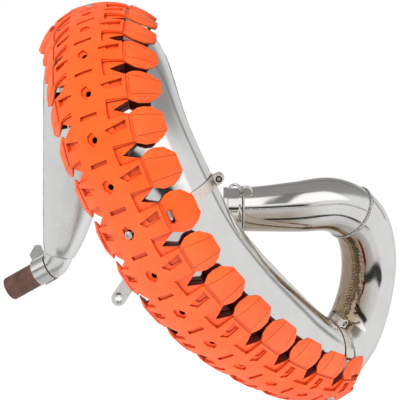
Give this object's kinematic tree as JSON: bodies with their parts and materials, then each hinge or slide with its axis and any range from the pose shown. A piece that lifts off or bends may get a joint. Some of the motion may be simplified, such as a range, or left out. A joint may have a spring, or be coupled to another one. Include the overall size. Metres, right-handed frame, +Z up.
{
  "type": "two-stroke exhaust pipe with guard",
  "caption": "Two-stroke expansion chamber exhaust pipe of plated sheet steel, with a clamped-on moulded link guard along the outside of its belly.",
  "frame": {"origin": "centre of the header inlet's mouth, on the bore axis", "axes": "+X along the header away from the mouth, +Z up as the pipe sits on the motorcycle, +Y completes the right-handed set (towards the back in the front view)"},
  "size_m": [0.4512, 0.3659, 0.4433],
  "materials": {
    "nickel_plate": "bright nickel plated steel sheet",
    "bronzed_steel": "matt brown heat-coloured tube",
    "guard_orange": "satin moulded plastic",
    "guard_tab_orange": "satin moulded plastic",
    "clamp_steel": "rolled stainless strip",
    "screw_steel": "zinc plated"
  },
  "bodies": {
    "pipe": {"inlet_collar": "nickel_plate", "header_upper": "nickel_plate", "header_lower": "nickel_plate", "bend_front": "nickel_plate", "bend_rear": "nickel_plate", "belly_front": "nickel_plate", "belly_rear": "nickel_plate", "tail_outer": "nickel_plate", "tail_inner": "nickel_plate", "tail_elbow": "nickel_plate", "stinger_tube": "bronzed_steel", "stinger_saddle": "nickel_plate", "lower_bracket": "nickel_plate", "spring_hooks": "nickel_plate", "guard_link_01": "guard_orange", "guard_link_02": "guard_orange", "guard_link_03": "guard_orange", "guard_link_04": "guard_orange", "guard_link_05": "guard_orange", "guard_link_06": "guard_orange", "guard_link_07": "guard_orange", "guard_link_08": "guard_orange", "guard_link_09": "guard_orange", "guard_link_10": "guard_orange", "guard_link_11": "guard_orange", "guard_link_12": "guard_orange", "guard_link_13": "guard_orange", "guard_link_14": "guard_orange", "guard_link_15": "guard_orange", "clamp_bands": "clamp_steel", "clamp_housings": "clamp_steel", "nut_plates": "clamp_steel", "guard_screws": "screw_steel"},
    "tab_l_02": {"tab_l_02": "guard_tab_orange"},
    "tab_r_02": {"tab_r_02": "guard_tab_orange"},
    "tab_l_03": {"tab_l_03": "guard_tab_orange"},
    "tab_r_03": {"tab_r_03": "guard_tab_orange"},
    "tab_l_04": {"tab_l_04": "guard_tab_orange"},
    "tab_r_04": {"tab_r_04": "guard_tab_orange"},
    "tab_l_05": {"tab_l_05": "guard_tab_orange"},
    "tab_r_05": {"tab_r_05": "guard_tab_orange"},
    "tab_l_06": {"tab_l_06": "guard_tab_orange"},
    "tab_r_06": {"tab_r_06": "guard_tab_orange"},
    "tab_l_07": {"tab_l_07": "guard_tab_orange"},
    "tab_r_07": {"tab_r_07": "guard_tab_orange"},
    "tab_l_09": {"tab_l_09": "guard_tab_orange"},
    "tab_r_09": {"tab_r_09": "guard_tab_orange"},
    "tab_l_10": {"tab_l_10": "guard_tab_orange"},
    "tab_r_10": {"tab_r_10": "guard_tab_orange"},
    "tab_l_11": {"tab_l_11": "guard_tab_orange"},
    "tab_r_11": {"tab_r_11": "guard_tab_orange"},
    "tab_l_12": {"tab_l_12": "guard_tab_orange"},
    "tab_r_12": {"tab_r_12": "guard_tab_orange"},
    "tab_l_13": {"tab_l_13": "guard_tab_orange"},
    "tab_r_13": {"tab_r_13": "guard_tab_orange"},
    "tab_l_14": {"tab_l_14": "guard_tab_orange"},
    "tab_r_14": {"tab_r_14": "guard_tab_orange"},
    "worm_screw_1": {"worm_screw_1": "screw_steel"},
    "worm_screw_2": {"worm_screw_2": "screw_steel"},
    "worm_screw_3": {"worm_screw_3": "screw_steel"}
  },
  "joints": [
    {"name": "tab_l_02_flex", "type": "hinge", "parent": "pipe", "child": "tab_l_02", "pos_m": [-0.18088, -0.00576, 0.18445], "axis": [-0.0475, 0.9152, 0.4002], "range_deg": [0, 15], "stiffness_Nm_per_rad": 0.3},
    {"name": "tab_r_02_flex", "type": "hinge", "parent": "pipe", "child": "tab_r_02", "pos_m": [-0.10141, -0.03581, 0.20846], "axis": [0.0045, -0.95, -0.3122], "range_deg": [0, 15], "stiffness_Nm_per_rad": 0.3},
    {"name": "tab_l_03_flex", "type": "hinge", "parent": "pipe", "child": "tab_l_03", "pos_m": [-0.17844, -0.04604, 0.16353], "axis": [-0.053, 0.8525, 0.52], "range_deg": [0, 15], "stiffness_Nm_per_rad": 0.3},
    {"name": "tab_r_03_flex", "type": "hinge", "parent": "pipe", "child": "tab_r_03", "pos_m": [-0.10192, -0.08174, 0.18868], "axis": [-0.0231, -0.8787, -0.4767], "range_deg": [0, 15], "stiffness_Nm_per_rad": 0.3},
    {"name": "tab_l_04_flex", "type": "hinge", "parent": "pipe", "child": "tab_l_04", "pos_m": [-0.17565, -0.08185, 0.13518], "axis": [-0.0833, 0.6897, 0.7193], "range_deg": [0, 15], "stiffness_Nm_per_rad": 0.3},
    {"name": "tab_r_04_flex", "type": "hinge", "parent": "pipe", "child": "tab_r_04", "pos_m": [-0.10093, -0.11993, 0.16009], "axis": [0.0766, -0.6909, -0.7189], "range_deg": [0, 15], "stiffness_Nm_per_rad": 0.3},
    {"name": "tab_l_05_flex", "type": "hinge", "parent": "pipe", "child": "tab_l_05", "pos_m": [-0.16972, -0.10632, 0.09905], "axis": [-0.1789, 0.3925, 0.9022], "range_deg": [0, 15], "stiffness_Nm_per_rad": 0.3},
    {"name": "tab_r_05_flex", "type": "hinge", "parent": "pipe", "child": "tab_r_05", "pos_m": [-0.0965, -0.14585, 0.12306], "axis": [0.093, -0.4402, -0.893], "range_deg": [0, 15], "stiffness_Nm_per_rad": 0.3},
    {"name": "tab_l_06_flex", "type": "hinge", "parent": "pipe", "child": "tab_l_06", "pos_m": [-0.15946, -0.11555, 0.05529], "axis": [-0.274, 0.0421, 0.9608], "range_deg": [0, 15], "stiffness_Nm_per_rad": 0.3},
    {"name": "tab_r_06_flex", "type": "hinge", "parent": "pipe", "child": "tab_r_06", "pos_m": [-0.0909, -0.16032, 0.08086], "axis": [0.2122, -0.1989, -0.9568], "range_deg": [0, 15], "stiffness_Nm_per_rad": 0.3},
    {"name": "tab_l_07_flex", "type": "hinge", "parent": "pipe", "child": "tab_l_07", "pos_m": [-0.14265, -0.11547, 0.01097], "axis": [-0.415, -0.0546, 0.9082], "range_deg": [0, 15], "stiffness_Nm_per_rad": 0.3},
    {"name": "tab_r_07_flex", "type": "hinge", "parent": "pipe", "child": "tab_r_07", "pos_m": [-0.07653, -0.16468, 0.03651], "axis": [0.3593, -0.0017, -0.9332], "range_deg": [0, 15], "stiffness_Nm_per_rad": 0.3},
    {"name": "tab_l_09_flex", "type": "hinge", "parent": "pipe", "child": "tab_l_09", "pos_m": [-0.09854, -0.10134, -0.07365], "axis": [-0.5206, -0.2533, 0.8154], "range_deg": [0, 15], "stiffness_Nm_per_rad": 0.3},
    {"name": "tab_r_09_flex", "type": "hinge", "parent": "pipe", "child": "tab_r_09", "pos_m": [-0.03657, -0.15407, -0.04927], "axis": [0.5021, 0.2461, -0.8291], "range_deg": [0, 15], "stiffness_Nm_per_rad": 0.3},
    {"name": "tab_l_10_flex", "type": "hinge", "parent": "pipe", "child": "tab_l_10", "pos_m": [-0.07173, -0.08654, -0.11003], "axis": [-0.5983, -0.3711, 0.7102], "range_deg": [0, 15], "stiffness_Nm_per_rad": 0.3},
    {"name": "tab_r_10_flex", "type": "hinge", "parent": "pipe", "child": "tab_r_10", "pos_m": [-0.01028, -0.13884, -0.08532], "axis": [0.5972, 0.3941, -0.6986], "range_deg": [0, 15], "stiffness_Nm_per_rad": 0.3},
    {"name": "tab_l_11_flex", "type": "hinge", "parent": "pipe", "child": "tab_l_11", "pos_m": [-0.04255, -0.06561, -0.14078], "axis": [-0.6286, -0.5141, 0.5836], "range_deg": [0, 15], "stiffness_Nm_per_rad": 0.3},
    {"name": "tab_r_11_flex", "type": "hinge", "parent": "pipe", "child": "tab_r_11", "pos_m": [0.01896, -0.11642, -0.11641], "axis": [0.6071, 0.5333, -0.5891], "range_deg": [0, 15], "stiffness_Nm_per_rad": 0.3},
    {"name": "tab_l_12_flex", "type": "hinge", "parent": "pipe", "child": "tab_l_12", "pos_m": [-0.01174, -0.03853, -0.16586], "axis": [-0.6547, -0.5956, 0.4654], "range_deg": [0, 15], "stiffness_Nm_per_rad": 0.3},
    {"name": "tab_r_12_flex", "type": "hinge", "parent": "pipe", "child": "tab_r_12", "pos_m": [0.04847, -0.08756, -0.14242], "axis": [0.6015, 0.6409, -0.4769], "range_deg": [0, 15], "stiffness_Nm_per_rad": 0.3},
    {"name": "tab_l_13_flex", "type": "hinge", "parent": "pipe", "child": "tab_l_13", "pos_m": [0.02244, -0.00981, -0.18718], "axis": [-0.7225, -0.5676, 0.3948], "range_deg": [0, 15], "stiffness_Nm_per_rad": 0.3},
    {"name": "tab_r_13_flex", "type": "hinge", "parent": "pipe", "child": "tab_r_13", "pos_m": [0.07898, -0.05509, -0.16258], "axis": [0.6417, 0.6833, -0.3483], "range_deg": [0, 15], "stiffness_Nm_per_rad": 0.3},
    {"name": "tab_l_14_flex", "type": "hinge", "parent": "pipe", "child": "tab_l_14", "pos_m": [0.05729, 0.01913, -0.20358], "axis": [-0.7241, -0.6299, 0.2808], "range_deg": [0, 15], "stiffness_Nm_per_rad": 0.3},
    {"name": "tab_r_14_flex", "type": "hinge", "parent": "pipe", "child": "tab_r_14", "pos_m": [0.11012, -0.01998, -0.17713], "axis": [0.6235, 0.7458, -0.2345], "range_deg": [0, 15], "stiffness_Nm_per_rad": 0.3},
    {"name": "worm_screw_1_turn", "type": "hinge", "parent": "pipe", "child": "worm_screw_1", "pos_m": [-0.06632, 0.06202, 0.14419], "axis": [-0.2281, 0.1287, -0.9651], "continuous": true},
    {"name": "worm_screw_2_turn", "type": "hinge", "parent": "pipe", "child": "worm_screw_2", "pos_m": [-0.00558, -0.09958, 0.0325], "axis": [0.0497, 0.9814, 0.1853], "continuous": true},
    {"name": "worm_screw_3_turn", "type": "hinge", "parent": "pipe", "child": "worm_screw_3", "pos_m": [0.12937, 0.04251, -0.12175], "axis": [-0.5955, 0.5971, 0.5375], "continuous": true}
  ]
}
